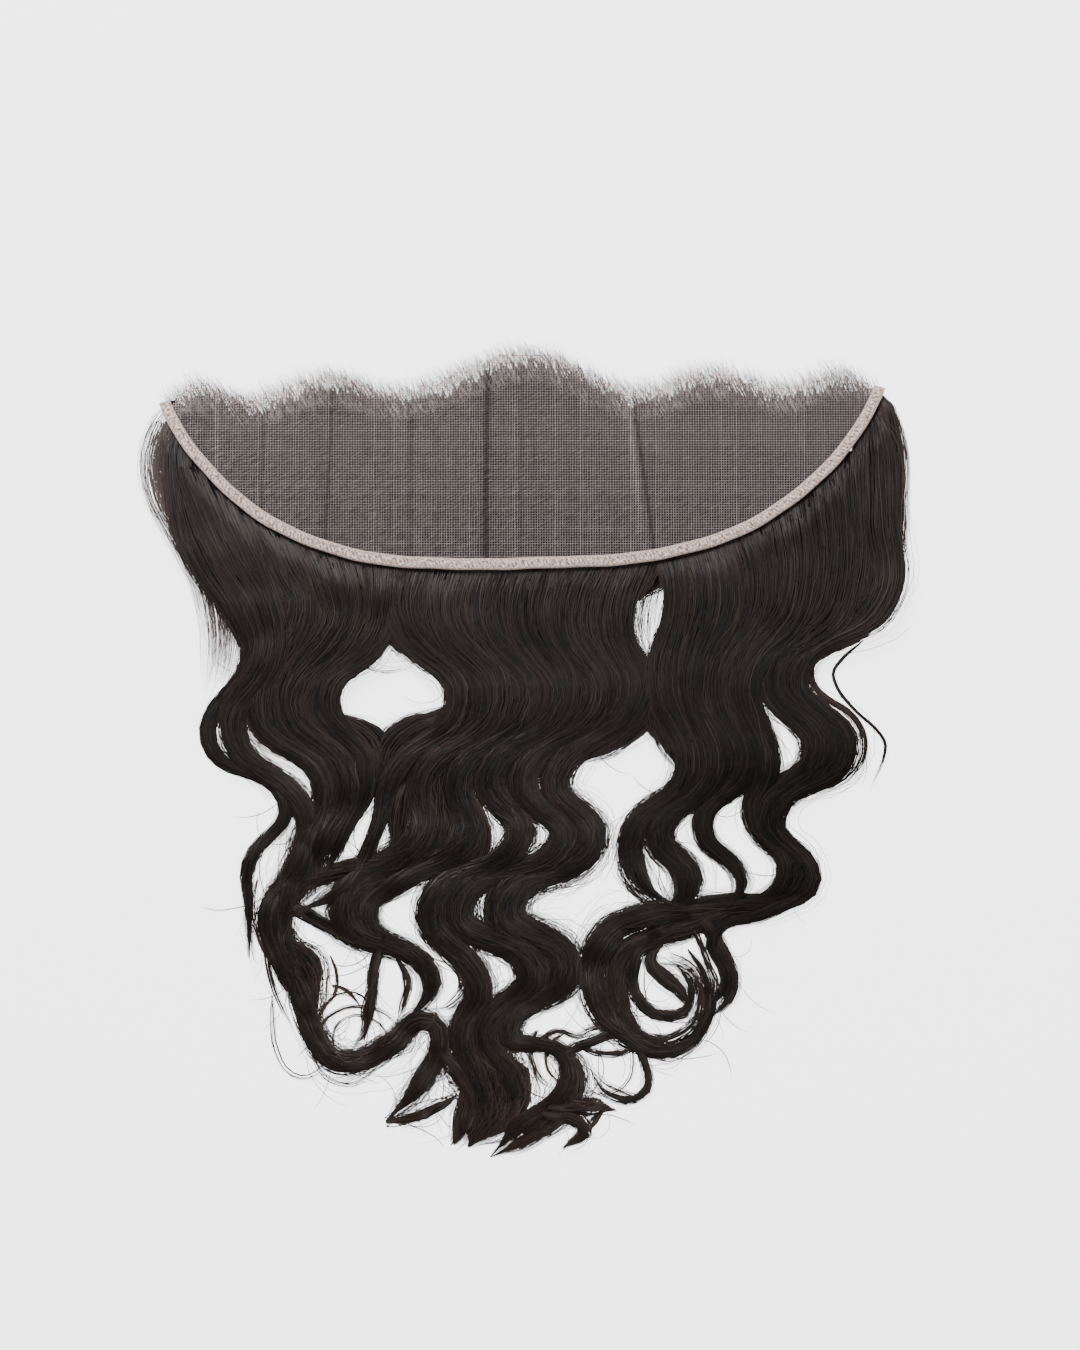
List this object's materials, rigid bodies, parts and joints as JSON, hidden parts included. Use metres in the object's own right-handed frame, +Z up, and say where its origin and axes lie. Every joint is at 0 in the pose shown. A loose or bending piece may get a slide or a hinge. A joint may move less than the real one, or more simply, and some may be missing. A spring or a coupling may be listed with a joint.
{
  "type": "lace frontal",
  "caption": "Lace frontal hairpiece lying flat, hair down: a scalloped see-through lace base with a bound rear edge and long body-wave hair.",
  "frame": {"origin": "middle of the bottom of the box around the whole frontal, on the surface it lies on", "axes": "+X along the hairline to the right in the picture, +Y from the hair's tips to the hairline, +Z up out of the table, toward the viewer"},
  "size_m": [0.3446, 0.3702, 0.0128],
  "materials": {
    "lace": "sheer beige net, matte",
    "tape": "woven pinkish beige tape, matte",
    "hair": "natural black hair, soft sheen"
  },
  "bodies": {
    "root": {"lace_base": "lace", "edge_binding": "tape", "hair_left": "hair", "hair_centre": "hair", "hair_right": "hair"}
  },
  "joints": []
}
